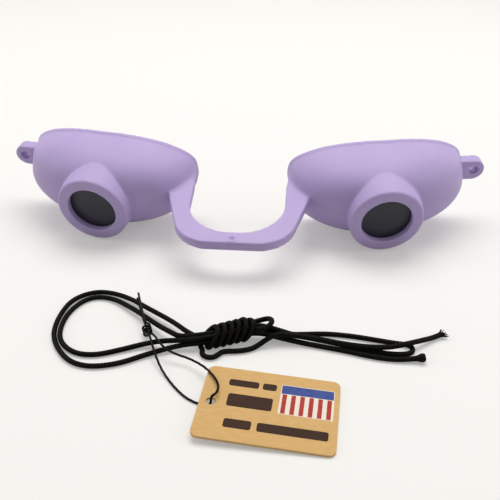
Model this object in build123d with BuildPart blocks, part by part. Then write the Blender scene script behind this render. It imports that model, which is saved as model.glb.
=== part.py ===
from build123d import *
import math
import os

os.makedirs("parts", exist_ok=True)

# A pair of soft tanning goggles: two eyecups with dark lenses on one flexible nose bridge,
# lying on a table with the hanked elastic head cord and a blank swing tag in front.
# Units are mm. X is the width, -Y is the side that the lenses face, +Z is up, the table is z = 0.

# Goggles: overall size and how they rest
overall_width = 124.0
lens_spacing = 72.0
splay_angle = 9.0
face_line_y = -5.61
snout_radius = 8.95
rim_full_half = 12.7
rim_depth = 20.3
rim_sag = 2.0

# Eyecup shell: how far the rim reaches inwards, outwards, up and down from the cup's middle,
# how full the dome is on each of these sides, and how square its four corners are
rim_inner_half = 23.1
rim_outer_half = 22.5
rim_upper_half = 10.8
rim_lower_half = 12.25
rim_shift = 1.0
rim_lip_proud = 0.3
rim_lip_low_proud = 0.45
dome_front_depth = 2.5
fullness_inner = 2.4
fullness_outer = 2.5
fullness_upper = 3.3
fullness_lower = 2.3
square_upper_outer = 2.1
square_upper_inner = 2.6
square_lower_inner = 1.9
square_lower_outer = 1.85
outline_steps = 24
wall = 1.8
front_wall = 2.6
rim_overrun = 2.5
lip_width = 1.0
section_depths = (14.5, 10.4, 7.2, 5.0, 3.6, 2.9)

# Snout and lens seat
snout_base_radius = 9.6
snout_base_depth = 9.5
snout_edge_radius = 0.7
bore_radius = 6.15
lens_recess = 1.8
lens_thickness = 2.0
lens_overlap = 0.75
lens_clearance = 0.05
inner_bore_radius = 6.0

# Cord lug at the outer end of each cup
lug_height = 5.6
lug_thickness = 3.2
lug_hole_radius = 1.15
lug_hole_inset = 2.8
lug_up = 1.0
lug_root_lateral = 20.5

# Nose bridge, a flat band bent into a U
bridge_top_up = 3.1
bridge_thickness = 2.5
bridge_front = 12.85
bridge_inner_front = 9.05
bridge_inner_half = 11.5
bridge_outer_front_half = 12.3
bridge_outer_back_half = 20.0
bridge_outer_back = 14.0
bridge_root_back = 19.5
bridge_outer_fillet = 9.0
bridge_inner_fillet = 10.5
bar_half_length = 6.5

# Head cord, string and tag
cord_diameter = 1.1
string_diameter = 0.5
corner_share = 0.45
tag_width = 25.0
tag_height = 18.0
tag_thickness = 0.5
tag_corner_radius = 1.4
tag_hole_radius = 1.1
tag_hole_inset = 2.1
tag_hole_up = -0.3
tag_left_x = -1.46
tag_middle_y = -60.8
tag_turn = -4.2
tag_tilt = 2.3
tag_lean = 0.9

# Derived angles: the rim's lowest point and the snout's lowest point both touch the table
rim_low_depth = rim_depth - rim_sag
nose_down = math.atan2(rim_full_half - snout_radius, rim_low_depth)
splay = math.radians(splay_angle)
face_up = snout_radius * math.cos(nose_down)
face_x = lens_spacing / 2

# The goggles' own directions, then the right cup's own directions
goggle_front = Vector(0, -math.cos(nose_down), -math.sin(nose_down))
goggle_up = Vector(0, -math.sin(nose_down), math.cos(nose_down))
across = Vector(1, 0, 0)
cup_front = goggle_front * math.cos(splay) + across * math.sin(splay)
cup_out = across * math.cos(splay) - goggle_front * math.sin(splay)
face_centre = Vector(face_x, face_line_y, face_up)
face_plane = Plane(origin=face_centre, x_dir=cup_out, z_dir=cup_front)
cup_axis = Axis(origin=face_centre, direction=cup_front)
lug_front_depth = rim_depth - lug_thickness
lug_tip = (overall_width / 2 - face_x + lug_front_depth * math.sin(splay)) / math.cos(splay)


def shell_share(depth, front, fullness):
    back = max(0.0, (rim_depth - depth) / (rim_depth - front))
    return (1 - back**fullness) ** (1 / fullness)


def outline(inner, outer, upper, lower):
    points = []
    for step in range(outline_steps):
        angle = 2 * math.pi * step / outline_steps
        run = math.cos(angle)
        rise = math.sin(angle)
        if run > 0:
            half_run = outer
            square = square_upper_outer if rise > 0 else square_lower_outer
        else:
            half_run = inner
            square = square_upper_inner if rise > 0 else square_lower_inner
        half_rise = upper if rise > 0 else lower
        across_point = math.copysign(half_run * abs(run) ** (2 / square), run)
        up_point = math.copysign(half_rise * abs(rise) ** (2 / square), rise)
        points.append((across_point, up_point))
    return points


def shell_outline(depth, inset, front):
    return outline(
        (rim_inner_half - inset) * shell_share(depth, front, fullness_inner),
        (rim_outer_half - inset) * shell_share(depth, front, fullness_outer),
        (rim_upper_half - inset) * shell_share(depth, front, fullness_upper),
        (rim_lower_half - inset) * shell_share(depth, front, fullness_lower),
    )


def shift_at(depth):
    return rim_shift * (depth - dome_front_depth) / (rim_depth - dome_front_depth)


# Eyecup: domed shell, lofted through rounded outlines from behind the rim to the dome's front
with BuildPart() as dome:
    for depth in (rim_depth + rim_overrun, rim_depth) + section_depths:
        with BuildSketch(face_plane.offset(-depth)):
            with BuildLine(Location((shift_at(depth), 0))):
                Spline(*shell_outline(depth, 0, dome_front_depth), periodic=True)
            make_face()
    loft()

# Eyecup: hollow behind the lens, the same outlines drawn in by the wall
hollow_front = dome_front_depth + front_wall
with BuildPart() as hollow:
    for depth in (rim_depth + rim_overrun, rim_depth) + section_depths:
        inner_depth = depth + front_wall * (rim_depth - depth) / (rim_depth - dome_front_depth)
        inner_depth = max(inner_depth, depth)
        with BuildSketch(face_plane.offset(-inner_depth)):
            with BuildLine(Location((shift_at(depth), 0))):
                Spline(*shell_outline(inner_depth, wall, hollow_front), periodic=True)
            make_face()
    loft()

# Eyecup: snout tube that carries the lens, turned about the cup's axis
snout_plane = Plane(origin=face_centre, x_dir=cup_out, z_dir=cup_out.cross(cup_front))
with BuildPart() as snout:
    with BuildSketch(snout_plane) as snout_profile:
        with BuildLine():
            Polyline(
                (0, 0),
                (snout_radius, 0),
                (snout_base_radius, -snout_base_depth),
                (0, -snout_base_depth),
                close=True,
            )
        make_face()
    revolve(axis=cup_axis)
    fillet(edges().filter_by(GeomType.CIRCLE).sort_by(cup_axis)[-1], snout_edge_radius)

# Rim surface: a wide cylinder across the cup, so the brow and cheek sides stand forward
rim_arc_radius = (rim_full_half**2 + rim_sag**2) / (2 * rim_sag)
rim_arc_depth = rim_depth - rim_arc_radius
rim_cut_length = overall_width
rim_plane = Plane(
    origin=face_plane.from_local_coords((0, 0, -rim_arc_depth)),
    x_dir=cup_front,
    z_dir=cup_out,
)
lip_depth = rim_depth - lip_width - rim_sag - rim_overrun
with BuildPart() as lip:
    with BuildSketch(face_plane.offset(-lip_depth)):
        with BuildLine(Location((rim_shift, 0))):
            Spline(
                *outline(
                    rim_inner_half + rim_lip_proud,
                    rim_outer_half + rim_lip_proud,
                    rim_upper_half + rim_lip_proud,
                    rim_lower_half + rim_lip_low_proud,
                ),
                periodic=True,
            )
        make_face()
    extrude(amount=-(rim_depth + rim_overrun - lip_depth))
    with Locations(rim_plane):
        Cylinder(rim_arc_radius - lip_width, rim_cut_length, mode=Mode.SUBTRACT)

# Cord lug: a rounded tab on the outer end with a hole through it from front to back
lug_radius = lug_height / 2
with BuildPart() as lug:
    with BuildSketch(face_plane.offset(-rim_depth)):
        with BuildLine():
            Polyline(
                (lug_root_lateral, lug_up - lug_radius),
                (lug_tip - lug_radius, lug_up - lug_radius),
                (lug_tip - lug_radius, lug_up + lug_radius),
                (lug_root_lateral, lug_up + lug_radius),
                close=True,
            )
        make_face()
        with Locations((lug_tip - lug_radius, lug_up)):
            Circle(lug_radius)
    extrude(amount=lug_thickness)

# Nose bridge: the whole U band, then its middle bar and its right arm
bridge_plane = Plane(
    origin=Vector(0, face_line_y, face_up) + goggle_up * bridge_top_up,
    x_dir=across,
    z_dir=goggle_up,
)
with BuildPart() as band:
    with BuildSketch(bridge_plane):
        with BuildLine():
            FilletPolyline(
                (-bridge_outer_back_half, bridge_outer_back),
                (-bridge_outer_front_half, -bridge_front),
                (bridge_outer_front_half, -bridge_front),
                (bridge_outer_back_half, bridge_outer_back),
                radius=bridge_outer_fillet,
            )
            Polyline(
                (bridge_outer_back_half, bridge_outer_back),
                (bridge_outer_back_half, bridge_root_back),
                (-bridge_outer_back_half, bridge_root_back),
                (-bridge_outer_back_half, bridge_outer_back),
            )
        make_face()
        with BuildLine():
            FilletPolyline(
                (-bridge_inner_half, bridge_root_back),
                (-bridge_inner_half, -bridge_inner_front),
                (bridge_inner_half, -bridge_inner_front),
                (bridge_inner_half, bridge_root_back),
                radius=bridge_inner_fillet,
            )
            Line((bridge_inner_half, bridge_root_back), (-bridge_inner_half, bridge_root_back))
        make_face(mode=Mode.SUBTRACT)
    extrude(amount=-bridge_thickness)

arm_box_size = overall_width
with BuildPart() as arm:
    add(band.part)
    with Locations((bar_half_length, 0, 0)):
        Box(
            arm_box_size,
            arm_box_size,
            arm_box_size,
            align=(Align.MAX, Align.CENTER, Align.CENTER),
            mode=Mode.SUBTRACT,
        )

# Right eyecup: everything joined, hollowed, bored for the lens and cut back to the rim surface
lens_pocket_radius = bore_radius + lens_overlap + lens_clearance
with BuildPart() as right_cup_raw:
    add(dome.part)
    add(snout.part)
    add(lip.part)
    add(lug.part)
    add(arm.part)
    add(hollow.part, mode=Mode.SUBTRACT)
    with BuildSketch(face_plane):
        Circle(bore_radius)
    extrude(amount=-lens_recess, mode=Mode.SUBTRACT)
    with BuildSketch(face_plane.offset(-lens_recess)):
        Circle(lens_pocket_radius)
    extrude(amount=-(lens_thickness + 2 * lens_clearance), mode=Mode.SUBTRACT)
    with BuildSketch(face_plane.offset(-lens_recess)):
        Circle(inner_bore_radius)
    extrude(amount=-(dome_front_depth + wall), mode=Mode.SUBTRACT)
    with BuildSketch(face_plane.offset(-rim_depth)):
        with Locations((lug_tip - lug_hole_inset, lug_up)):
            Circle(lug_hole_radius)
    extrude(amount=lug_thickness, mode=Mode.SUBTRACT)
    with Locations(rim_plane):
        Cylinder(rim_arc_radius, rim_cut_length, mode=Mode.INTERSECT)

# Lens: a plain dark disc in its groove
with BuildPart() as lens_raw:
    with BuildSketch(face_plane.offset(-lens_recess - lens_clearance)):
        Circle(bore_radius + lens_overlap)
    extrude(amount=-lens_thickness)

# Everything on the goggles is lowered or raised so that the lowest point is on the table
rest_shift = -right_cup_raw.part.bounding_box().min.Z

with BuildPart() as right_eyecup:
    with Locations((0, 0, rest_shift)):
        add(right_cup_raw.part)

with BuildPart() as left_eyecup:
    add(mirror(right_eyecup.part, about=Plane.YZ))

with BuildPart() as right_lens:
    with Locations((0, 0, rest_shift)):
        add(lens_raw.part)

with BuildPart() as left_lens:
    add(mirror(right_lens.part, about=Plane.YZ))

with BuildPart() as nose_bridge:
    with Locations((0, 0, rest_shift)):
        add(band.part)
    Box(2 * bar_half_length, arm_box_size, arm_box_size, mode=Mode.INTERSECT)

right_eyecup.part.label = "right_eyecup"
left_eyecup.part.label = "left_eyecup"
right_lens.part.label = "right_lens"
left_lens.part.label = "left_lens"
nose_bridge.part.label = "nose_bridge"
export_step(right_eyecup.part, "parts/right_eyecup.step")
export_step(left_eyecup.part, "parts/left_eyecup.step")
export_step(right_lens.part, "parts/right_lens.step")
export_step(left_lens.part, "parts/left_lens.step")
export_step(nose_bridge.part, "parts/nose_bridge.step")


# Head cord: the middle of the hank is bound in a knot. Four strands run straight through it, then
# the last one turns back at its right end, winds round them all and leaves it in a loose bow
floor_clear = 0.02
lay = cord_diameter / 2 + floor_clear
knot_left = Vector(-4.6, -45.2, 3.45)
knot_right = Vector(8.6, -41.6, 3.45)
knot_turns = 5.5
knot_left_bare = 2.6
knot_right_bare = 0.9
knot_steps = 8
knot_radius = 2.87
knot_swell = 0.15
knot_start_angle = 180.0
strand_side = 0.8
knot_along = (knot_right - knot_left).normalized()
knot_side = Vector(0, 0, 1).cross(knot_along)


def strand(end, side, rise):
    return end + knot_side * side + Vector(0, 0, rise)


def winding(start, finish, turns, steps, radius, swell, first_angle):
    along = (finish - start).normalized()
    side = Vector(0, 0, 1).cross(along)
    lift = along.cross(side)
    points = []
    count = round(abs(turns) * steps)
    for step in range(count + 1):
        share = step / count
        angle = math.radians(first_angle) + 2 * math.pi * turns * share
        reach = radius + swell * math.sin(math.pi * share)
        centre = start + (finish - start) * share
        points.append(centre + side * (reach * math.sin(angle)) - lift * (reach * math.cos(angle)))
    return points


short_end_route = [
    Vector(40.3, -45.4, lay),
    Vector(35.5, -45.9, lay),
    Vector(30.5, -45.4, lay),
    Vector(25.3, -44.4, lay),
    Vector(20.2, -43.4, lay),
    Vector(15.4, -42.9, 1.8),
    strand(knot_right, -strand_side, -strand_side),
    strand(knot_left, -strand_side, -strand_side),
]
outer_loop_route = [
    Vector(-8.6, -46.7, 1.4),
    Vector(-13.8, -48.8, lay),
    Vector(-18.8, -51.6, lay),
    Vector(-24.5, -53.2, lay),
    Vector(-29.2, -51.6, lay),
    Vector(-32.9, -47.5, lay),
    Vector(-35.2, -42.7, lay),
    Vector(-35.8, -37.0, lay),
    Vector(-34.3, -30.9, lay),
    Vector(-29.2, -27.4, lay),
    Vector(-22.6, -29.5, 1.3),
    Vector(-16.0, -34.6, 1.9),
    Vector(-9.9, -39.6, 2.0),
    strand(knot_left, strand_side, -strand_side),
]
bight_route = [
    strand(knot_right, strand_side, -strand_side),
    Vector(14.6, -39.4, 1.5),
    Vector(20.6, -38.3, lay),
    Vector(26.2, -38.7, lay),
    Vector(31.8, -39.9, lay),
    Vector(35.6, -40.6, lay),
    Vector(38.5, -41.2, lay),
    Vector(38.6, -43.1, lay),
    Vector(36.3, -44.3, lay),
    Vector(31.5, -43.6, lay),
    Vector(26.7, -42.4, lay),
    Vector(21.6, -41.5, 1.3),
    Vector(15.4, -40.1, 3.2),
    strand(knot_right, strand_side, strand_side),
]
inner_loop_route = [
    strand(knot_left, strand_side, strand_side),
    Vector(-8.9, -42.6, 3.3),
    Vector(-13.4, -39.8, 2.4),
    Vector(-19.5, -34.2, 1.7),
    Vector(-25.6, -30.7, 0.9),
    Vector(-30.1, -30.8, lay),
    Vector(-32.5, -35.0, lay),
    Vector(-33.3, -40.8, lay),
    Vector(-31.6, -45.6, lay),
    Vector(-28.4, -48.9, lay),
    Vector(-24.4, -49.5, lay),
    Vector(-20.0, -47.9, lay),
    Vector(-14.4, -45.5, 0.9),
    Vector(-9.4, -44.6, 2.9),
    strand(knot_left, -strand_side, strand_side),
    strand(knot_right, -strand_side, strand_side),
    Vector(11.3, -42.1, 4.2),
    Vector(12.1, -42.4, 5.45),
    Vector(11.2, -42.9, 6.6),
    Vector(9.6, -42.6, 6.6),
]
knot_route = winding(
    knot_right - knot_along * knot_right_bare,
    knot_left + knot_along * knot_left_bare,
    knot_turns,
    knot_steps,
    knot_radius,
    knot_swell,
    knot_start_angle,
)
bow_route = [
    Vector(-2.7, -46.9, lay),
    Vector(-1.4, -48.9, lay),
    Vector(1.2, -48.9, lay),
    Vector(3.9, -47.5, lay),
    Vector(6.8, -46.2, lay),
    Vector(9.7, -44.8, lay),
    Vector(12.2, -42.9, lay),
]
long_end_route = [
    Vector(14.4, -41.2, lay),
    Vector(17.8, -40.2, lay),
    Vector(22.5, -40.1, lay),
    Vector(27.4, -40.9, lay),
    Vector(31.6, -41.8, 1.2),
    Vector(35.6, -42.4, 2.4),
    Vector(40.0, -40.7, 2.4),
    Vector(43.3, -38.9, 1.2),
    Vector(46.1, -36.9, lay),
]
cord_route = (
    short_end_route
    + outer_loop_route
    + bight_route
    + inner_loop_route
    + knot_route
    + bow_route
    + long_end_route
)

# Tag: a thin blank card that leans on its own string at the left
tag_rest = 0.05
tag_side_lift = tag_width * math.sin(math.radians(tag_tilt))
tag_lean_lift = tag_height / 2 * math.sin(math.radians(tag_lean))
tag_corner = Vector(tag_left_x, tag_middle_y, tag_side_lift + tag_lean_lift + tag_rest)
tag_flat = Plane(origin=tag_corner, z_dir=(0, 0, 1)).rotated((tag_lean, tag_tilt, tag_turn))
with BuildPart() as swing_tag:
    with BuildSketch(tag_flat):
        with Locations((tag_width / 2, 0)):
            RectangleRounded(tag_width, tag_height, tag_corner_radius)
        with Locations((tag_hole_inset, tag_hole_up)):
            Circle(tag_hole_radius, mode=Mode.SUBTRACT)
    extrude(amount=tag_thickness)
tag_hole = tag_flat.from_local_coords((tag_hole_inset, tag_hole_up, 0))

# Tag string: over the cord, round itself in a small knot, under the tag, up through its hole
# and back over the card to the knot and under the cord
thread = string_diameter / 2 + floor_clear
string_knot_upper = Vector(-15.5, -40.9, 1.4)
string_knot_lower = Vector(-14.7, -42.9, 1.4)
string_knot_turns = -1.875
string_knot_radius = 1.1
string_knot_start = 180.0
string_out_route = [
    Vector(-20.2, -28.6, 1.8),
    Vector(-19.2, -31.0, 3.1),
    Vector(-18.2, -33.8, 3.4),
    Vector(-17.1, -36.6, 3.4),
    Vector(-16.2, -39.2, 2.6),
]
string_knot_route = winding(
    string_knot_upper,
    string_knot_lower,
    string_knot_turns,
    knot_steps,
    string_knot_radius,
    0,
    string_knot_start,
)
string_back_route = [
    Vector(-14.6, -44.8, 3.0),
    Vector(-13.7, -47.0, 2.7),
    Vector(-12.3, -49.4, 2.3),
    Vector(-10.8, -52.3, 0.9),
    Vector(-8.8, -55.0, thread),
    Vector(-6.5, -57.5, thread),
    Vector(-4.2, -59.7, thread),
    Vector(-2.0, -60.9, thread),
    Vector(tag_hole.X, tag_hole.Y, thread),
    Vector(tag_hole.X, tag_hole.Y, 2.7),
    Vector(1.9, -59.2, 2.6),
    Vector(1.4, -56.2, 2.5),
    Vector(-0.9, -53.0, 2.5),
    Vector(-4.4, -50.4, 1.6),
    Vector(-7.4, -49.2, 2.0),
    Vector(-9.6, -48.2, 3.1),
    Vector(-11.4, -46.4, 3.6),
    Vector(-12.8, -44.3, 2.9),
    string_knot_lower,
    string_knot_upper,
    Vector(-16.5, -37.9, 0.6),
    Vector(-17.7, -34.6, thread),
    Vector(-19.0, -31.6, thread),
    Vector(-20.2, -29.5, 0.6),
]
string_route = string_out_route + string_knot_route + string_back_route


def corner_radii(route):
    radii = []
    for before, here, after in zip(route, route[1:], route[2:]):
        turn = math.radians((here - before).get_angle(after - here))
        shorter = min((here - before).length, (after - here).length)
        radii.append(corner_share * shorter / math.tan(turn / 2))
    return radii


def tube_points(path, spacing):
    count = int(path.length / spacing)
    return [tuple(path.position_at(step / count)) for step in range(count + 1)]


def least_gap(points, spacing, diameter, skip):
    least = overall_width
    jump = int(skip / spacing)
    for index, here in enumerate(points):
        for there in points[index + jump :]:
            least = min(least, math.dist(here, there))
    return least - diameter


def gap_between(first, second, reach):
    least = overall_width
    for here in first:
        for there in second:
            least = min(least, math.dist(here, there))
    return least - reach


# The head cord as one tube
with BuildPart() as head_cord:
    with BuildLine() as cord_path:
        FilletPolyline(*cord_route, radius=corner_radii(cord_route))
    with BuildSketch(cord_path.line ^ 0):
        Circle(cord_diameter / 2)
    sweep(path=cord_path.line)

# The tag's string as one tube
with BuildPart() as tag_string:
    with BuildLine() as string_path:
        FilletPolyline(*string_route, radius=corner_radii(string_route))
    with BuildSketch(string_path.line ^ 0):
        Circle(string_diameter / 2)
    sweep(path=string_path.line)

head_cord.part.label = "head_cord"
tag_string.part.label = "tag_string"
swing_tag.part.label = "swing_tag"
export_step(head_cord.part, "parts/head_cord.step")
export_step(tag_string.part, "parts/tag_string.step")
export_step(swing_tag.part, "parts/swing_tag.step")

# Checks printed with each build
cord_wire = cord_path.wires()[0]
string_wire = string_path.wires()[0]
point_spacing = 0.3
cord_points = tube_points(cord_wire, point_spacing)
string_points = tube_points(string_wire, point_spacing)
for label, part, wire, route, size in (
    ("head_cord", head_cord.part, cord_wire, cord_route, cord_diameter),
    ("tag_string", tag_string.part, string_wire, string_route, string_diameter),
):
    section = math.pi * size**2 / 4
    print(label, "length", round(wire.length, 1), "volume", round(part.volume, 2))
    print("  section x length", round(section * wire.length, 2), "solids", len(part.solids()))
    print("  corner radii", [round(radius, 1) for radius in corner_radii(route)])
cord_skip = 3 * cord_diameter
string_skip = 4 * string_diameter
print("cord's least gap to itself", round(least_gap(cord_points, point_spacing, cord_diameter, cord_skip), 2))
print("string's least gap to itself", round(least_gap(string_points, point_spacing, string_diameter, string_skip), 2))
reach = (cord_diameter + string_diameter) / 2
print("cord to string", round(gap_between(cord_points, string_points, reach), 2))

for name in (right_eyecup, right_lens, nose_bridge, head_cord, tag_string, swing_tag):
    box = name.part.bounding_box()
    print(name.part.label, "solids", len(name.part.solids()), "volume", round(name.part.volume, 1), box)
print("nose down", round(math.degrees(nose_down), 3), "rest shift", round(rest_shift, 3), "lug tip", round(lug_tip, 2))
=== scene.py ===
import math

import bmesh
import bpy
from mathutils import Matrix, Vector


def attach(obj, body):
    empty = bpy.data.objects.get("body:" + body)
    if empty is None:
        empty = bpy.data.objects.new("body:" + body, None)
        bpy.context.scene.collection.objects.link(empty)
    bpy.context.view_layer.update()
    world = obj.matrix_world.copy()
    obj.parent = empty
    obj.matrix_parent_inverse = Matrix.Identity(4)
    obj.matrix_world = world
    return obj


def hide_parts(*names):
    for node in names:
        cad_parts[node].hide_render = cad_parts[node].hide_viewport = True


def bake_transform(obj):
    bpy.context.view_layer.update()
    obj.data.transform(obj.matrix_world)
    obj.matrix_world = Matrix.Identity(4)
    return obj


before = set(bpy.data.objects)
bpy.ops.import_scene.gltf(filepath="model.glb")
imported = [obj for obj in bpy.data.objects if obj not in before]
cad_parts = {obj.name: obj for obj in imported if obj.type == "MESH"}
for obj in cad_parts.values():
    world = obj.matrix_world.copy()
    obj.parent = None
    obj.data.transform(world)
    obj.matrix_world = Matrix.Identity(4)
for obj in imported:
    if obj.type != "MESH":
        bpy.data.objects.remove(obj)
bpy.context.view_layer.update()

# The soft moulding: two domed eyecups with lens snouts and cord lugs, joined by a flat nose band.
# The real one is a single shot of thermoplastic elastomer, so all of it shares one skin, and the
# mould leaves softly rounded corners and a small scar where the gate was trimmed off the band.
mm = 0.001  # every length below is in mm, and times this it is in metres
skin_detail = 0.23
softening_share = 0.5
edge_softening = 9
rim_softening = 26
root_softening = 110
# The right cup: the middle of its lens face, and its directions up, to the front and outwards.
nose_down = math.radians(11.58)
splay = math.radians(9.0)
cup_face = Vector((36.0, -5.61, 9.01))
facing = Vector((0, -math.cos(nose_down), -math.sin(nose_down)))
cup_up = Vector((0, -math.sin(nose_down), math.cos(nose_down)))
cup_front = facing * math.cos(splay) + Vector((math.sin(splay), 0, 0))
cup_out = Vector((math.cos(splay), 0, 0)) - facing * math.sin(splay)
# The oval of its rim, how far its upper outer corner is squared, and how its inner end leans.
rim_back = 20.3
rim_band = 3.0
rim_outer_half = 22.5
rim_upper_half = 10.8
rim_shift = 1.0
corner_square = (2.1, 2.8)
corner_depths = (3.0, 13.0)
corner_rise_shares = (0.12, 0.6)
lug_from = (23.5, 25.5)
inner_end_from = (16.0, 22.5)
inner_end_depths = (12.0, 18.0)
inner_end_level_share = 0.38
inner_end_lean = 2.2
inner_end_most = (-0.6, 0.9)
# The line of the fillet where the band runs into the cup, and how strongly it is softened there.
root_line = [
    Vector((17.3, -1.3, 13.4)),
    Vector((14.8, 1.0, 14.2)),
    Vector((11.7, 6.4, 14.6)),
    Vector((11.1, 9.0, 15.0)),
]
root_weights = (0.1, 0.7, 1.0, 0.6)
root_reach = 2.6
root_core_share = 0.4
# The scar of the gate: its place and sizes, and the shares of its radius for its pit and lip.
gate_scar_place = (-0.1, -17.5)
gate_scar_radius = 0.85
gate_scar_depth = 0.45
gate_scar_lip = 0.15
scar_pit_share = 0.6
scar_lip_at_share = 1.1
scar_lip_width_share = 0.35
scar_end_share = 3
band_top_from = 9.5


def linear(hex_colour):
    """An sRGB hex colour as the linear RGBA that a shader socket takes."""
    channels = [int(hex_colour[i : i + 2], 16) / 255 for i in (0, 2, 4)]
    lit = []
    for channel in channels:
        toe = channel / 12.92
        lit.append(toe if channel <= 0.04045 else ((channel + 0.055) / 1.055) ** 2.4)
    return (*lit, 1.0)


def add(tree, kind, values=None, links=None, **options):
    """One node, with its options, its plain socket values and the sockets that feed it."""
    made = tree.nodes.new(kind)
    for option, value in options.items():
        setattr(made, option, value)
    for socket, value in (values or {}).items():
        made.inputs[socket].default_value = value
    for socket, source in (links or {}).items():
        tree.links.new(source, made.inputs[socket])
    return made


def blank_finish(name):
    """A new material and its empty node tree."""
    finish = bpy.data.materials.new(name)
    finish.use_nodes = True
    finish.node_tree.nodes.clear()
    return finish, finish.node_tree


def new_piece(name, mesh):
    """A mesh placed in the scene as a piece of its own."""
    piece = bpy.data.objects.new(name, mesh)
    bpy.context.scene.collection.objects.link(piece)
    return piece


def piece_from(name, shape):
    """A piece from a finished bmesh, with its faces turned outwards."""
    bmesh.ops.recalc_face_normals(shape, faces=shape.faces)
    mesh = bpy.data.meshes.new(name)
    shape.to_mesh(mesh)
    shape.free()
    return new_piece(name, mesh)


# Moulded TPE: a dense, slightly waxy rubber from a lightly blasted mould. It gives the eye a
# broad soft sheen with no sharp highlight, a trace of light in the thin rims, and faint clouds
# where the melt flowed. The blasting grain is drawn three times coarser than the real 0.1 mm.
tpe, tree = blank_finish("lilac_moulded_tpe")
blasting_grain = 0.3
blasting_depth = 0.04
flow_cloud = 11.0
glow_depth = 0.9
place = add(tree, "ShaderNodeTexCoord").outputs["Object"]
cloud = add(
    tree, "ShaderNodeTexNoise", {"Scale": 1 / (flow_cloud * mm), "Detail": 3.0}, {"Vector": place}
)
flow = add(tree, "ShaderNodeValToRGB", links={"Fac": cloud.outputs["Fac"]})
flow.color_ramp.elements[0].position = 0.3
flow.color_ramp.elements[0].color = linear("BAA7D8")
flow.color_ramp.elements[1].position = 0.7
flow.color_ramp.elements[1].color = linear("C1AEDC")
grain = add(
    tree,
    "ShaderNodeTexNoise",
    {"Scale": 1 / (blasting_grain * mm), "Detail": 2.0},
    {"Vector": place},
)
blast = add(
    tree,
    "ShaderNodeBump",
    {"Strength": 0.15, "Distance": blasting_depth * mm},
    {"Height": grain.outputs["Fac"]},
)
sheen_spread = add(
    tree, "ShaderNodeMapRange", {"To Min": 0.48, "To Max": 0.6}, {"Value": cloud.outputs["Fac"]}
)
rubber = add(
    tree,
    "ShaderNodeBsdfPrincipled",
    {
        "IOR": 1.5,
        "Specular IOR Level": 0.35,
        "Subsurface Weight": 0.2,
        "Subsurface Radius": (1.0, 0.7, 1.0),
        "Subsurface Scale": glow_depth * mm,
    },
    {
        "Base Color": flow.outputs["Color"],
        "Roughness": sheen_spread.outputs["Result"],
        "Normal": blast.outputs["Normal"],
    },
)
add(tree, "ShaderNodeOutputMaterial", links={"Surface": rubber.outputs["BSDF"]})


def eased(value, start, end):
    """Nought before start, one after end, and a smooth step between them."""
    share = min(max((value - start) / (end - start), 0), 1)
    return share * share * (3 - 2 * share)


def on_cup(point):
    """A place in mm as seen from the cup: outwards, upwards and back from its lens face."""
    away = point - cup_face
    return away.dot(cup_out), away.dot(cup_up), -away.dot(cup_front)


def root_weight(point):
    """How much a place belongs to the fillet where the band runs into the cup."""
    weight = 0.0
    for index, (start, end) in enumerate(zip(root_line, root_line[1:])):
        run = end - start
        share = min(max((point - start).dot(run) / run.length_squared, 0), 1)
        away = (point - start.lerp(end, share)).length
        strength = root_weights[index] * (1 - share) + root_weights[index + 1] * share
        near = 1 - eased(away, root_core_share * root_reach, root_reach)
        weight = max(weight, strength * near)
    return weight


def rim_weight(point):
    """How much a place belongs to the rim of the cup, which stops short of the lug."""
    out, _, back = on_cup(point)
    if out >= rim_outer_half:
        return 0.0
    return eased(back, rim_back - rim_band, rim_back - rim_band / 2)


def shaped(name, mesh, steps):
    """The mesh after its modifiers, each a kind, its settings and its weight for a place."""
    piece = new_piece(name, mesh)
    for kind, settings, weight in steps:
        step = piece.modifiers.new(kind, kind)
        for setting, value in settings.items():
            setattr(step, setting, value)
        if weight:
            group = piece.vertex_groups.new(name=str(len(piece.vertex_groups)))
            for vert in mesh.vertices:
                share = weight(vert.co / mm)
                if share > 0:
                    group.add([vert.index], share, "REPLACE")
            step.vertex_group = group.name
    graph = bpy.context.evaluated_depsgraph_get()
    made = bpy.data.meshes.new_from_object(piece.evaluated_get(graph))
    bpy.data.objects.remove(piece)
    return made


def hand_finished(mesh):
    """The upper outer corner of the cup drawn out towards a square, and its inner end leaned
    towards the nose at the top, so that the rim runs on into the edge of the band."""
    before, after = corner_square
    for vert in mesh.vertices:
        out, up, back = on_cup(vert.co / mm)
        outward, upward = (out - rim_shift) / rim_outer_half, up / rim_upper_half
        weight = eased(back, *corner_depths) * eased(upward, *corner_rise_shares)
        weight *= 1 - eased(out, *lug_from)
        if outward > 0 and weight > 0:
            turn = math.atan2(upward, outward)
            cosine, sine = math.cos(turn), math.sin(turn)
            oval = (cosine**before + sine**before) ** (1 / before)
            square = (cosine**after + sine**after) ** (1 / after)
            grown = weight * (oval / square - 1)
            vert.co += (cup_out * (out - rim_shift) + cup_up * up) * grown * mm
        weight = eased(-out, *inner_end_from) * eased(back, *inner_end_depths)
        if weight > 0:
            lean = inner_end_lean * (inner_end_level_share - upward)
            lean = min(max(lean, inner_end_most[0]), inner_end_most[1])
            vert.co += cup_out * lean * weight * mm


def moulded_skin(name, nodes):
    """One closed skin over several solids of the frame, its corners rounded as a mould's are."""
    gathered = bmesh.new()
    for node in nodes:
        gathered.from_mesh(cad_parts[node].data)
    rough = bpy.data.meshes.new(name + "_rough")
    gathered.to_mesh(rough)
    gathered.free()
    skin = {"mode": "VOXEL", "voxel_size": skin_detail * mm}
    whole = shaped(name + "_skin", rough, [("REMESH", skin, None)])
    passes = [(edge_softening, None), (rim_softening, rim_weight), (root_softening, root_weight)]
    steps = [
        ("SMOOTH", {"factor": softening_share, "iterations": count}, weight)
        for count, weight in passes
    ]
    mesh = shaped(name + "_soft", whole, steps)
    hand_finished(mesh)
    return mesh


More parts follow.
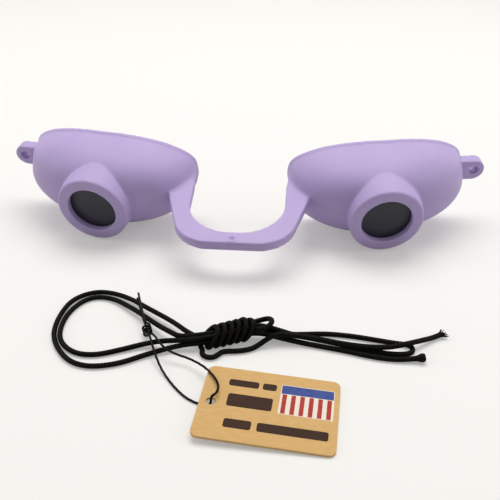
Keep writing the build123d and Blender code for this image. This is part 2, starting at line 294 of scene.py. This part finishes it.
def trim_scar(half):
    """A shallow pit with a raised lip on the band, where the gate was cut off."""
    for vert in half.verts:
        x, y, z = vert.co / mm
        away = math.hypot(x - gate_scar_place[0], y - gate_scar_place[1]) / gate_scar_radius
        if z > band_top_from and away < scar_end_share:
            pit = gate_scar_depth * math.exp(-((away / scar_pit_share) ** 2))
            from_lip = (away - scar_lip_at_share) / scar_lip_width_share
            lip = gate_scar_lip * math.exp(-(from_lip**2))
            vert.co.z += (lip - pit) * mm


def half_from(mesh, name, mirrored):
    """The right half of the skin, or its mirror image, closed where the two halves meet."""
    half = bmesh.new()
    half.from_mesh(mesh)
    everything = half.verts[:] + half.edges[:] + half.faces[:]
    cut = bmesh.ops.bisect_plane(
        half, geom=everything, plane_co=(0, 0, 0), plane_no=(1, 0, 0), clear_inner=True
    )
    rim = [part for part in cut["geom_cut"] if isinstance(part, bmesh.types.BMEdge)]
    bmesh.ops.triangle_fill(half, edges=rim, use_beauty=True)
    for face in half.faces:
        face.smooth = True
    for edge in rim:
        edge.smooth = False
    if mirrored:
        bmesh.ops.scale(half, vec=(-1, 1, 1), verts=half.verts)
        bmesh.ops.reverse_faces(half, faces=half.faces)
    trim_scar(half)
    return piece_from(name, half)


goggle_skin = moulded_skin("goggles", ("right_eyecup", "nose_bridge"))
for side, sign in (("right", 1), ("left", -1)):
    half = half_from(goggle_skin, side + "_half", sign < 0)
    half.data.materials.append(tpe)
    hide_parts(side + "_eyecup", "nose_bridge")
    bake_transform(half)

# The lenses: two dark discs of tinted polycarbonate, moulded flat and snapped into the groove
# inside each snout, so that they sit back behind its lip.

# Tinted polycarbonate: nearly black and moulded smooth, then dulled by handling. It gives the eye
# an even dark grey with a soft, spread reflection and a few hairline scuffs.
lens_tint, tree = blank_finish("tinted_polycarbonate")
scuff_size = 1.1
place = add(tree, "ShaderNodeTexCoord").outputs["Object"]
scuffs = add(
    tree, "ShaderNodeTexNoise", {"Scale": 1 / (scuff_size * mm), "Detail": 4.0}, {"Vector": place}
)
haze = add(
    tree, "ShaderNodeMapRange", {"To Min": 0.34, "To Max": 0.46}, {"Value": scuffs.outputs["Fac"]}
)
plastic = add(
    tree,
    "ShaderNodeBsdfPrincipled",
    {"Base Color": linear("2A2A35"), "IOR": 1.585, "Specular IOR Level": 0.3},
    {"Roughness": haze.outputs["Result"]},
)
add(tree, "ShaderNodeOutputMaterial", links={"Surface": plastic.outputs["BSDF"]})
for lens in ("right_lens", "left_lens"):
    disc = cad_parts[lens]
    disc.data.materials.clear()
    disc.data.materials.append(lens_tint)

# The head cord: round black braided elastic, 1.1 mm thick, folded into a hank and wound round
# itself in the middle. It lies loose on the table. One end is heat-sealed into a small bell, and
# the other is cut and frayed into two tufts.
cord_thickness = 1.1
cord_lay = 0.57  # the height of its centre where it lies on the table
strand_gap = 0.572  # how far a strand in the knot is from the middle, sideways and up or down
# The middle of the bundle of strands inside the knot, from left to right.
knot_stations = [
    Vector((-7.7, -45.06, 1.78)),
    Vector((-2.5, -44.5, 2.3)),
    Vector((0.2, -43.5, 2.5)),
    Vector((4.1, -41.8, 2.62)),
    Vector((7.05, -41.1, 2.62)),
    Vector((9.1, -41.0, 2.45)),
    Vector((11.1, -40.9, 1.78)),
]
knot_along = (knot_stations[-1] - knot_stations[0]) * Vector((1, 1, 0))
knot_side = Vector((0, 0, 1)).cross(knot_along).normalized()
# The winding round that bundle: its turns, where it starts and stops, its slant and its reach.
knot_turns = 6.25
knot_start_turn = 0.75
steps_a_turn = 8
winding_from = 6.2
winding_to = -2.3
winding_slant = 1.5
winding_radius = 2.03
winding_swell = 0.1
winding_bump = 0.3
bump_shares = (0.18, 0.42)
# How finely the cord is drawn, and over how many of its points the direction of an end is taken.
line_steps = 12
cord_step = 0.18
cord_sides = 24
end_points = 6


def strand(side, rise, first=0, last=None):
    """A strand of the hank inside the knot, beside and above the middle of the bundle."""
    offset = knot_side * side + Vector((0, 0, rise))
    return [tuple(station + offset) for station in knot_stations[first:last]]


def bundle_at(x):
    """The middle of the bundle at one place along the knot."""
    for before, after in zip(knot_stations, knot_stations[1:]):
        if x <= after.x:
            break
    return before.lerp(after, (x - before.x) / (after.x - before.x))


def winding():
    """The cord's own turns round the bundle: slanting, uneven, and proud at one crossing."""
    points = []
    count = round(knot_turns * steps_a_turn)
    for step in range(count + 1):
        share = step / count
        angle = 2 * math.pi * (knot_start_turn + knot_turns * share)
        reach = winding_radius + winding_swell * math.sin(math.pi * share)
        if bump_shares[0] < share < bump_shares[1]:
            reach += winding_bump * max(0, -math.cos(angle))
        x = winding_from + (winding_to - winding_from) * share - winding_slant * math.cos(angle)
        point = bundle_at(x) - knot_side * (reach * math.sin(angle))
        point.z = max(point.z - reach * math.cos(angle), cord_lay)
        points.append(tuple(point))
    return points


# The cord's route, from its sealed end through the knot and both loops to its frayed end.
short_end = [
    (39.1, -45.6, 0.9),
    (36.4, -45.9, 0.62),
    (32.9, -45.8, cord_lay),
    (29.2, -45.1, cord_lay),
    (25.3, -44.0, cord_lay),
    (19.8, -42.9, cord_lay),
    (15.4, -42.1, 0.75),
]
outer_loop = [
    (-13.8, -48.2, cord_lay),
    (-18.8, -51.6, cord_lay),
    (-24.5, -53.0, cord_lay),
    (-29.0, -51.4, cord_lay),
    (-32.7, -47.0, cord_lay),
    (-34.6, -42.8, cord_lay),
    (-35.1, -37.1, cord_lay),
    (-34.1, -30.8, cord_lay),
    (-29.2, -27.3, cord_lay),
    (-22.6, -29.3, 0.9),
    (-16.0, -34.6, 1.5),
    (-10.2, -38.7, 1.6),
    (-5.8, -43.0, 1.85),
]
bight = [
    (15.6, -39.9, 0.8),
    (21.0, -38.8, cord_lay),
    (26.4, -39.1, cord_lay),
    (31.8, -40.1, cord_lay),
    (35.3, -40.8, cord_lay),
    (38.7, -41.15, cord_lay),
    (38.7, -43.7, cord_lay),
    (35.5, -44.4, cord_lay),
    (31.5, -43.9, cord_lay),
    (26.7, -42.8, cord_lay),
    (21.4, -41.2, cord_lay),
    (16.0, -41.1, 1.3),
]
inner_loop = [
    (-9.9, -43.1, 2.3),
    (-13.4, -40.1, 1.7),
    (-19.5, -34.4, 1.2),
    (-25.6, -29.7, cord_lay),
    (-30.5, -29.9, cord_lay),
    (-33.4, -34.8, cord_lay),
    (-33.7, -41.0, cord_lay),
    (-32.3, -45.7, cord_lay),
    (-28.7, -49.0, cord_lay),
    (-24.4, -49.5, cord_lay),
    (-20.0, -47.7, cord_lay),
    (-14.2, -45.1, 0.9),
    (-10.4, -45.2, 1.8),
]
turn_back = [
    (6.4, -41.8, 3.2),
    (8.4, -42.3, 3.5),
    (9.9, -41.9, 4.1),
    (10.6, -40.6, 4.5),
    (9.9, -39.2, 4.1),
    (8.3, -38.7, 3.3),
]
floor_bow = [
    (-3.0, -46.0, cord_lay),
    (-3.1, -47.2, cord_lay),
    (-2.1, -48.2, cord_lay),
    (-0.7, -48.2, cord_lay),
    (0.2, -47.3, cord_lay),
    (0.8, -46.4, cord_lay),
    (2.0, -46.0, cord_lay),
    (3.6, -45.9, cord_lay),
    (5.6, -45.4, cord_lay),
    (7.1, -44.6, cord_lay),
    (8.6, -43.4, 1.0),
    (9.8, -43.0, 1.9),
    (11.6, -42.1, 2.5),
]
long_end = [
    (14.8, -42.0, 2.2),
    (19.0, -41.9, 1.75),
    (24.0, -43.1, 1.7),
    (29.0, -43.8, 1.7),
    (33.5, -44.0, 1.9),
    (37.3, -42.7, 2.05),
    (41.9, -39.5, 1.0),
    (43.6, -38.3, 0.7),
    (45.0, -37.4, 0.8),
]
cord_route = (
    short_end
    + strand(-strand_gap, -strand_gap)[::-1]
    + outer_loop
    + strand(strand_gap, -strand_gap, first=1)
    + bight
    + strand(strand_gap, strand_gap)[::-1]
    + inner_loop
    + strand(-strand_gap, strand_gap, last=4)
    + turn_back
    + winding()
    + floor_bow
    + long_end
)


def laid_line(name, route):
    """The centreline of a cord: one smooth NURBS line through its route, as a list of points."""
    curve = bpy.data.curves.new(name, "CURVE")
    curve.dimensions = "3D"
    curve.resolution_u = line_steps
    spline = curve.splines.new("NURBS")
    spline.points.add(len(route) - 1)
    for point, place in zip(spline.points, route):
        point.co = (place[0] * mm, place[1] * mm, place[2] * mm, 1)
    spline.order_u = 3
    spline.use_endpoint_u = True
    holder = bpy.data.objects.new(name, curve)
    line = bpy.data.meshes.new_from_object(holder)
    points = [vert.co.copy() for vert in line.vertices]
    bpy.data.objects.remove(holder)
    return points


def even_line(points, spacing):
    """The same line at even steps, for yarns whose pattern has to keep its pitch."""
    runs = [(after - before).length for before, after in zip(points, points[1:])]
    total = sum(runs)
    count = max(2, round(total / (spacing * mm)))
    evened, index, passed = [points[0].copy()], 0, 0.0
    for step in range(1, count):
        reach = total * step / count
        while passed + runs[index] < reach:
            passed += runs[index]
            index += 1
        evened.append(points[index].lerp(points[index + 1], (reach - passed) / runs[index]))
    evened.append(points[-1].copy())
    return evened, total


def ring_round(shape, centre, side, other, radii):
    """A ring of vertices round a centre, one for each radius in mm."""
    ring = []
    for step, radius in enumerate(radii):
        angle = 2 * math.pi * step / len(radii)
        out = side * math.cos(angle) + other * math.sin(angle)
        ring.append(shape.verts.new(centre + out * radius * mm))
    return ring


def join_rings(shape, rings):
    """Quads from each ring to the next, and a flat cap on either end."""
    for ring, following in zip(rings, rings[1:]):
        for index, vert in enumerate(ring):
            after = (index + 1) % len(ring)
            shape.faces.new((vert, ring[after], following[after], following[index]))
    shape.faces.new(rings[0][::-1])
    shape.faces.new(rings[-1])


def spun_tube(name, points, radius_at, around):
    """A closed tube along a line; radius_at(turn, distance) gives its yarns' radius in mm."""
    tangents = []
    for index in range(len(points)):
        before = points[max(index - 1, 0)]
        after = points[min(index + 1, len(points) - 1)]
        tangents.append((after - before).normalized())
    side = tangents[0].orthogonal().normalized()
    tube = bmesh.new()
    rings, distance = [], 0.0
    for index, (centre, tangent) in enumerate(zip(points, tangents)):
        if index:
            distance += (centre - points[index - 1]).length
            side = tangents[index - 1].rotation_difference(tangent) @ side
        side = (side - tangent * side.dot(tangent)).normalized()
        radii = [radius_at(step / around, distance / mm) for step in range(around)]
        rings.append(ring_round(tube, centre, side, tangent.cross(side), radii))
    join_rings(tube, rings)
    for face in tube.faces:
        face.smooth = len(face.verts) < around
    return piece_from(name, tube)


# Braided elastic: a rubber core in a sleeve of matt black polyester yarns that cross in a
# diamond weave. It gives the eye a dead black with tiny soft glints along the yarns' crowns.
# The weave is drawn at about twice its real pitch, so that it shows.
elastic, tree = blank_finish("braided_polyester_elastic")
braid_carriers = 6
braid_pitch = 2.1
yarn_depth = 0.09
fuzz_size = 0.4
fuzz_depth = 0.03
place = add(tree, "ShaderNodeTexCoord").outputs["Object"]
fuzz = add(
    tree, "ShaderNodeTexNoise", {"Scale": 1 / (fuzz_size * mm), "Detail": 3.0}, {"Vector": place}
)
fade = add(tree, "ShaderNodeValToRGB", links={"Fac": fuzz.outputs["Fac"]})
fade.color_ramp.elements[0].position = 0.35
fade.color_ramp.elements[0].color = linear("040302")
fade.color_ramp.elements[1].position = 0.75
fade.color_ramp.elements[1].color = linear("0E0C08")
nap = add(
    tree,
    "ShaderNodeBump",
    {"Strength": 0.4, "Distance": fuzz_depth * mm},
    {"Height": fuzz.outputs["Fac"]},
)
yarn = add(
    tree,
    "ShaderNodeBsdfPrincipled",
    {"Roughness": 0.5, "Specular IOR Level": 0.06},
    {"Base Color": fade.outputs["Color"], "Normal": nap.outputs["Normal"]},
)
add(tree, "ShaderNodeOutputMaterial", links={"Surface": yarn.outputs["BSDF"]})


def braid_radius(turn, distance):
    """Radius of the sleeve: two sets of yarns cross, and the upper one of the two stands out."""
    along = distance / braid_pitch * braid_carriers / 2
    left = math.cos(2 * math.pi * (braid_carriers * turn + along))
    right = math.cos(2 * math.pi * (braid_carriers * turn - along))
    return cord_thickness / 2 - yarn_depth * (1 - max(left, right)) / 2


# The sealed end: the braid is melted against a hot plate, which spreads it into a small bell
# with a rolled rim and a dished face. Each pair is a place beyond the cord's end and a radius.
bell_profile = [(-0.4, 0.55), (0.05, 0.58), (0.45, 0.72), (0.85, 0.86), (1.3, 0.88), (1.65, 0.76)]
bell_dish = [(1.72, 0.5), (1.55, 0.22)]
bell_sides = 28
bell_waves = 3
bell_wave_share = 0.04


def sealed_end(name, end, outward):
    """The small bell that the melted braid sets into, on the end of the cord."""
    side = outward.orthogonal().normalized()
    bell = bmesh.new()
    turns = [2 * math.pi * step / bell_sides for step in range(bell_sides)]
    rings = []
    for along, radius in bell_profile + bell_dish:
        waves = [bell_wave_share * math.sin(bell_waves * turn + along) for turn in turns]
        radii = [radius * (1 + wave) for wave in waves]
        centre = end + outward * along * mm
        rings.append(ring_round(bell, centre, side, outward.cross(side), radii))
    join_rings(bell, rings)
    for face in bell.faces:
        face.smooth = True
    return piece_from(name, bell)


# The frayed end: the cut yarns of the sleeve spring apart into two tufts. Each yarn is a thin
# tapering hair, a little different in length and lean from its neighbours.
tuft_yarns = 7
tuft_length = 1.1
tuft_spread = 0.5
tuft_offset = 0.12
tuft_half_width = 0.3
tuft_half_height = 0.26
yarn_buried = 0.25
yarn_thickness = 0.44
yarn_taper_share = 0.6
yarn_lean_across = 0.16
yarn_lean_above = 0.2
yarn_curl_power = 1.4
yarn_length_share = 0.14
yarn_scatter = 2.4
yarn_steps = 5
yarn_sides = 6


def frayed_end(name, end, outward):
    """Two tufts of tapering yarns on the end of the cord."""
    across = outward.cross(Vector((0, 0, 1))).normalized()
    above = across.cross(outward)
    fray = bmesh.new()
    for tuft in (-1, 1):
        for index in range(tuft_yarns):
            turn = 2 * math.pi * index / tuft_yarns
            cosine, sine = math.cos(turn), math.sin(turn)
            start = across * (tuft_half_width * cosine + tuft_offset * tuft)
            start += above * (tuft_half_height * sine)
            lean = across * (tuft * tuft_spread + yarn_lean_across * cosine)
            lean += above * (yarn_lean_above * sine)
            uneven = yarn_length_share * math.sin(yarn_scatter * index + tuft)
            length = tuft_length * (1 + uneven)
            rings = []
            for step in range(yarn_steps):
                share = step / (yarn_steps - 1)
                reach = outward * (length * share - yarn_buried)
                bow = lean * (length * share**yarn_curl_power)
                radius = yarn_thickness / 2 * (1 - yarn_taper_share * share)
                centre = end + (start + reach + bow) * mm
                rings.append(ring_round(fray, centre, across, above, [radius] * yarn_sides))
            join_rings(fray, rings)
    for face in fray.faces:
        face.smooth = True
    return piece_from(name, fray)


cord_line, cord_length = even_line(laid_line("head_cord_line", cord_route), cord_step)
head_cord = spun_tube("head_cord_braid", cord_line, braid_radius, cord_sides)
cord_bell = sealed_end(
    "head_cord_sealed_end", cord_line[0], (cord_line[0] - cord_line[end_points]).normalized()
)
cord_fray = frayed_end(
    "head_cord_frayed_end",
    cord_line[-1],
    (cord_line[-1] - cord_line[-1 - end_points]).normalized(),
)
for piece in (head_cord, cord_bell, cord_fray):
    piece.data.materials.append(elastic)
    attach(piece, "cord_pack")
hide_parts("head_cord")

# The tag string: a waxed black thread, doubled from its cut ends beside the hank, knotted round
# itself and looped through the hole of the tag.
string_thickness = 0.5
string_lay = 0.27  # the height of its centre where it lies on the table
string_knot_upper = Vector((-15.6, -40.3, 1.35))
string_knot_lower = Vector((-14.7, -42.7, 1.35))
string_knot_turns = 2.875
string_knot_radius = 0.85
string_step = 0.14
string_sides = 12
tag_hole_place = (0.611, -61.252)


def string_knot():
    """The string's turns round its own two runs, from the knot's upper end to its lower one."""
    along = (string_knot_lower - string_knot_upper).normalized()
    side = Vector((0, 0, 1)).cross(along)
    lift = along.cross(side)
    points = []
    count = round(string_knot_turns * steps_a_turn)
    for step in range(count + 1):
        angle = math.pi * (1 - 2 * string_knot_turns * step / count)
        centre = string_knot_upper.lerp(string_knot_lower, step / count)
        out = side * math.sin(angle) - lift * math.cos(angle)
        points.append(tuple(centre + out * string_knot_radius))
    return points


# The string's route: from one cut end round its own knot to the tag, up through the hole, and
# back through the knot to the other cut end.
string_out = [
    (-19.6, -29.4, 1.9),
    (-18.8, -32.0, 2.75),
    (-17.6, -35.5, 2.9),
    (-16.6, -38.2, 2.9),
]
string_to_tag = [
    (-13.7, -45.1, 2.75),
    (-12.7, -47.7, 2.3),
    (-11.9, -49.3, 1.6),
    (-10.4, -52.1, 0.8),
    (-8.6, -54.6, string_lay),
    (-6.5, -57.3, string_lay),
    (-4.2, -59.6, string_lay),
    (-1.8, -60.9, string_lay),
    (*tag_hole_place, string_lay),
]
string_from_tag = [
    (*tag_hole_place, 2.6),
    (1.8, -60.0, 2.6),
    (1.5, -57.0, 2.3),
    (-1.2, -53.1, 2.1),
    (-4.7, -50.3, 1.7),
    (-7.9, -49.3, 1.9),
    (-10.0, -48.7, 2.6),
    (-11.8, -46.9, 3.3),
    (-13.2, -44.6, 2.9),
    tuple(string_knot_lower),
    tuple(string_knot_upper),
]
string_under = [
    (-16.7, -37.7, 0.6),
    (-17.8, -34.6, string_lay),
    (-19.1, -31.4, string_lay),
    (-19.9, -29.6, 0.7),
]
string_route = string_out + string_knot() + string_to_tag + string_from_tag + string_under

# Waxed thread: three twisted plies drawn through black wax. It gives the eye a thin black line, a
# shade glossier than the braid, with a faint glint along each ply.
thread, tree = blank_finish("waxed_thread")
plies = 3
ply_pitch = 1.6
ply_depth = 0.06
wax_grain = 0.6
place = add(tree, "ShaderNodeTexCoord").outputs["Object"]
wax = add(
    tree, "ShaderNodeTexNoise", {"Scale": 1 / (wax_grain * mm), "Detail": 2.0}, {"Vector": place}
)
gloss = add(
    tree, "ShaderNodeMapRange", {"To Min": 0.38, "To Max": 0.6}, {"Value": wax.outputs["Fac"]}
)
ply = add(
    tree,
    "ShaderNodeBsdfPrincipled",
    {"Base Color": linear("050403"), "Specular IOR Level": 0.1},
    {"Roughness": gloss.outputs["Result"]},
)
add(tree, "ShaderNodeOutputMaterial", links={"Surface": ply.outputs["BSDF"]})


def ply_radius(turn, distance):
    """Radius of the plies twisted together."""
    crown = abs(math.cos(math.pi * (plies * turn + distance / ply_pitch)))
    return string_thickness / 2 - ply_depth * (1 - crown)


string_line, string_length = even_line(laid_line("tag_string_line", string_route), string_step)
tag_string = spun_tube("tag_string_thread", string_line, ply_radius, string_sides)
tag_string.data.materials.append(thread)
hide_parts("tag_string")
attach(tag_string, "cord_pack")

# The swing tag: a die-cut card of kraft board with rounded corners and a punched hole, leaning
# on its own string. It is printed with plain dark bars and a striped panel. Each bar has its
# place from the left edge and up from the middle, its length and its height.
tag_length = 25.0
tag_height = 18.0
tag_board = 0.5
tag_corner = 1.4
edge_wear = 0.07
hole_inset = 2.1
hole_up = -0.3
hole_radius = 0.85
# Where the card lies: the middle of its left edge on the underside, and its three directions.
tag_origin = Vector((-1.46, -60.8, 1.19466))
tag_x = Vector((0.996511, -0.0726, -0.041169))
tag_y = Vector((0.073179, 0.997238, 0.012726))
tag_z = Vector((0.040132, -0.015695, 0.999071))
bars = [
    (4.5, 4.3, 5.6, 1.7),
    (10.8, 4.3, 2.6, 1.7),
    (4.9, -0.9, 8.2, 3.2),
    (5.2, -6.0, 4.9, 2.1),
    (11.1, -6.0, 12.4, 2.1),
]
bar_rounding = 0.45
panel_corner = (14.25, -1.1)
panel_size = (9.8, 7.4)
panel_head = 2.2
panel_stripes = 6
stripe_share = 0.5
panel_margin = 0.12
corner_steps = 10
bar_steps = 5
hole_steps = 40


def rounded_block(left, bottom, length, height, rounding, steps):
    """Corner points of a rectangle with rounded corners, in mm on the card."""
    ring = []
    for corner, (at_right, at_top) in enumerate(((1, 1), (0, 1), (0, 0), (1, 0))):
        x = left + rounding + at_right * (length - 2 * rounding)
        y = bottom + rounding + at_top * (height - 2 * rounding)
        for step in range(steps + 1):
            angle = math.pi / 2 * (corner + step / steps)
            ring.append((x + rounding * math.cos(angle), y + rounding * math.sin(angle)))
    return ring


def sharp_block(left, bottom, length, height):
    """Corner points of a rectangle with sharp corners, in mm on the card."""
    right, top = left + length, bottom + height
    return [(left, bottom), (right, bottom), (right, top), (left, top)]


def punched_ring(radius):
    """Points round the tag's hole, in mm on the card."""
    ring = []
    for step in range(hole_steps):
        angle = 2 * math.pi * step / hole_steps
        ring.append((hole_inset + radius * math.cos(angle), hole_up + radius * math.sin(angle)))
    return ring


def fill_between(card, outer, inner_rings, ink):
    """A flat printed field inside one ring of vertices and outside the others."""
    edges = []
    for ring in [outer] + inner_rings:
        for pair in zip(ring, ring[1:] + ring[:1]):
            edges.append(card.edges.get(pair) or card.edges.new(pair))
    made = bmesh.ops.triangle_fill(card, edges=edges, use_beauty=True)
    for face in made["geom"]:
        if isinstance(face, bmesh.types.BMFace):
            face.material_index = ink


def card_ring(card, points, height):
    """A ring of vertices at one height of the card."""
    return [card.verts.new((x, y, height)) for x, y in points]


def card_wall(card, upper, lower):
    """The cut edge of the card between two of its rings."""
    for index, vert in enumerate(upper):
        after = (index + 1) % len(upper)
        card.faces.new((vert, lower[index], lower[after], upper[after])).smooth = True


card = bmesh.new()
edge_levels = [(edge_wear, tag_board), (0, tag_board - edge_wear), (0, edge_wear), (edge_wear, 0)]
rims, holes = [], []
for inset, height in edge_levels:
    rim = rounded_block(
        inset,
        inset - tag_height / 2,
        tag_length - 2 * inset,
        tag_height - 2 * inset,
        tag_corner - inset,
        corner_steps,
    )
    rims.append(card_ring(card, rim, height))
    holes.append(card_ring(card, punched_ring(hole_radius + inset), height))
for ring in (rims, holes):
    for upper, lower in zip(ring, ring[1:]):
        card_wall(card, upper, lower)
kraft_ink, dark_ink, white_ink, red_ink, blue_ink = range(5)
printed = []
for left, bottom, length, height in bars:
    outline = rounded_block(left, bottom, length, height, bar_rounding, bar_steps)
    bar = card_ring(card, outline, tag_board)
    fill_between(card, bar, [], dark_ink)
    printed.append(bar)
panel_ring = card_ring(card, sharp_block(*panel_corner, *panel_size), tag_board)
printed.append(panel_ring)
stripe_pitch = panel_size[0] / panel_stripes
fields = [
    (
        panel_corner[0] + (stripe + (1 - stripe_share) / 2) * stripe_pitch,
        panel_corner[1] + panel_margin,
        stripe_pitch * stripe_share,
        panel_size[1] - panel_head - 3 * panel_margin,
        red_ink,
    )
    for stripe in range(panel_stripes)
]
fields.append(
    (
        panel_corner[0] + panel_margin,
        panel_corner[1] + panel_size[1] - panel_head - panel_margin,
        panel_size[0] - 2 * panel_margin,
        panel_head,
        blue_ink,
    )
)
field_rings = []
for left, bottom, length, height, ink in fields:
    ring = card_ring(card, sharp_block(left, bottom, length, height), tag_board)
    fill_between(card, ring, [], ink)
    field_rings.append(ring)
fill_between(card, panel_ring, field_rings, white_ink)
fill_between(card, rims[0], [holes[0]] + printed, kraft_ink)
fill_between(card, rims[-1], [holes[-1]], kraft_ink)
for vert in card.verts:
    on_card = vert.co.copy()
    vert.co = (tag_origin + tag_x * on_card.x + tag_y * on_card.y + tag_z * on_card.z) * mm
tag_card = piece_from("swing_tag_card", card)
fibre_length = 1.6
fibre_width = 0.35
fibre_depth = 0.05


def pulp_finish(name, dark, light, roughness):
    """Kraft board or ink on it: the long fibres of the pulp show through as fine streaks."""
    finish, tree = blank_finish(name)
    place = add(tree, "ShaderNodeTexCoord").outputs["Object"]
    fibre_scale = (1 / fibre_length, 1 / fibre_width, 1)
    along = add(tree, "ShaderNodeMapping", {"Scale": fibre_scale}, {"Vector": place})
    fibres = add(
        tree, "ShaderNodeTexNoise", {"Scale": 1 / mm, "Detail": 4.0}, {"Vector": along.outputs[0]}
    )
    shade = add(tree, "ShaderNodeValToRGB", links={"Fac": fibres.outputs["Fac"]})
    shade.color_ramp.elements[0].position = 0.32
    shade.color_ramp.elements[0].color = linear(dark)
    shade.color_ramp.elements[1].position = 0.66
    shade.color_ramp.elements[1].color = linear(light)
    tooth = add(
        tree,
        "ShaderNodeBump",
        {"Strength": 0.25, "Distance": fibre_depth * mm},
        {"Height": fibres.outputs["Fac"]},
    )
    paper = add(
        tree,
        "ShaderNodeBsdfPrincipled",
        {"Roughness": roughness, "Specular IOR Level": 0.2},
        {"Base Color": shade.outputs["Color"], "Normal": tooth.outputs["Normal"]},
    )
    add(tree, "ShaderNodeOutputMaterial", links={"Surface": paper.outputs["BSDF"]})
    return finish


# Kraft board and flexographic ink: unbleached brown pulp, and thin inks that let its fibres
# show. They give the eye a matt, warm face with faint streaks. The streaks are drawn about ten
# times as wide as a real fibre, so that they can be seen.
for name, dark, light, roughness in (
    ("kraft_board", "D6AC6E", "DDB57A", 0.85),
    ("dark_brown_ink", "2E1B10", "3E2718", 0.7),
    ("white_ink", "EFE3D2", "F4EBDF", 0.75),
    ("red_ink", "A8372F", "B8483C", 0.75),
    ("blue_ink", "3E4C8C", "4C5C9C", 0.75),
):
    tag_card.data.materials.append(pulp_finish(name, dark, light, roughness))
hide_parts("swing_tag")
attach(tag_card, "cord_pack")

# The table: a board with a pale laminate top, larger than the photograph shows, on which the
# goggles and the cord pack lie.
table_reach = 3000
table = bmesh.new()
bmesh.ops.create_grid(table, x_segments=1, y_segments=1, size=table_reach * mm)
table_mesh = bpy.data.meshes.new("table_top")
table.to_mesh(table_mesh)
table.free()
table_top = new_piece("table_top", table_mesh)


def seen_rays(tree):
    """One for rays from the eye, a mirror or glass, nought for the light that falls on things."""
    path = add(tree, "ShaderNodeLightPath")
    seen = path.outputs["Is Camera Ray"]
    for kind in ("Is Glossy Ray", "Is Transmission Ray"):
        either = add(tree, "ShaderNodeMath", operation="MAXIMUM")
        tree.links.new(seen, either.inputs[0])
        tree.links.new(path.outputs[kind], either.inputs[1])
        seen = either.outputs[0]
    return seen


# White laminate, photographed bright: a third of its light is its own, so that it looks white,
# and the rest still takes the soft shadow of the object. Beyond the lamps its own light rises, so
# that the table stays white up to its edge.
laminate, tree = blank_finish("white_laminate")
own_light = 0.3
far_light = 0.85
lamps_reach = 350
lamps_end = 800
place = add(tree, "ShaderNodeTexCoord").outputs["Object"]
away = add(tree, "ShaderNodeVectorMath", links={0: place}, operation="LENGTH")
rise = add(
    tree,
    "ShaderNodeMapRange",
    {
        "From Min": lamps_reach * mm,
        "From Max": lamps_end * mm,
        "To Min": own_light,
        "To Max": far_light,
    },
    {"Value": away.outputs["Value"]},
)
glow = add(
    tree,
    "ShaderNodeMath",
    links={0: seen_rays(tree), 1: rise.outputs["Result"]},
    operation="MULTIPLY",
)
lit = add(
    tree, "ShaderNodeEmission", {"Color": linear("F9F8F4")}, {"Strength": glow.outputs[0]}
)
matt = add(tree, "ShaderNodeBsdfDiffuse", {"Color": linear("D4D3D0")})
both = add(tree, "ShaderNodeAddShader", links={0: lit.outputs[0], 1: matt.outputs[0]})
add(tree, "ShaderNodeOutputMaterial", links={"Surface": both.outputs[0]})
table_top.data.materials.append(laminate)

# The room: pale walls that throw a weak, even light on the object. They are seen as white where
# the view passes over the table's edge.
sky_strength = 0.32
room = bpy.data.worlds.new("room")
bpy.context.scene.world = room
room.use_nodes = True
tree = room.node_tree
tree.nodes.clear()
sky = add(
    tree,
    "ShaderNodeMapRange",
    {"To Min": sky_strength, "To Max": 1.0},
    {"Value": seen_rays(tree)},
)
air = add(
    tree, "ShaderNodeBackground", {"Color": linear("F6F6F8")}, {"Strength": sky.outputs["Result"]}
)
add(tree, "ShaderNodeOutputWorld", links={"Surface": air.outputs["Background"]})

# The lamps: one large softbox, high and behind the goggles, and a weak panel on either side.
# Each has its watts, its place, what it is aimed at and its size.
lamp_tint = (1.0, 0.985, 0.965)
lamps = {
    "softbox": (3.0, Vector((20, 200, 580)), Vector((0, -25, 0)), (600, 400)),
    "left_panel": (0.45, Vector((-460, 0, 200)), Vector((-30, 0, 8)), (380, 300)),
    "right_panel": (0.45, Vector((460, 0, 200)), Vector((30, 0, 8)), (380, 300)),
}
for name, (watts, stand, aim, size) in lamps.items():
    lamp = bpy.data.lights.new(name, "AREA")
    lamp.shape = "RECTANGLE"
    lamp.size = size[0] * mm
    lamp.size_y = size[1] * mm
    lamp.energy = watts
    lamp.color = lamp_tint
    holder = bpy.data.objects.new(name, lamp)
    bpy.context.scene.collection.objects.link(holder)
    holder.location = stand * mm
    holder.rotation_mode = "QUATERNION"
    holder.rotation_quaternion = (aim - stand).to_track_quat("-Z", "Y")

# The camera: a 50 mm lens in front of the goggles, a hand's width above the table and turned
# slightly to the left. Its place was solved against the photograph.
camera_place = Vector((15.21, -153.01, 89.28))
camera_ahead = Vector((-0.0699, 0.8527, -0.5178)).normalized()
camera_right = Vector((0.9967, 0.0817, 0.0)).normalized()
camera = bpy.data.cameras.new("camera")
camera.lens = 50
camera.sensor_width = 36
camera.sensor_fit = "HORIZONTAL"
camera.clip_start = 5 * mm
camera.clip_end = 20000 * mm
viewpoint = bpy.data.objects.new("camera", camera)
bpy.context.scene.collection.objects.link(viewpoint)
camera_up = camera_right.cross(camera_ahead).normalized()
camera_right = camera_ahead.cross(camera_up).normalized()
turned = Matrix((camera_right, camera_up, -camera_ahead)).transposed().to_4x4()
viewpoint.matrix_world = Matrix.Translation(camera_place * mm) @ turned
bpy.context.scene.camera = viewpoint
bpy.context.scene.view_settings.view_transform = "Standard"
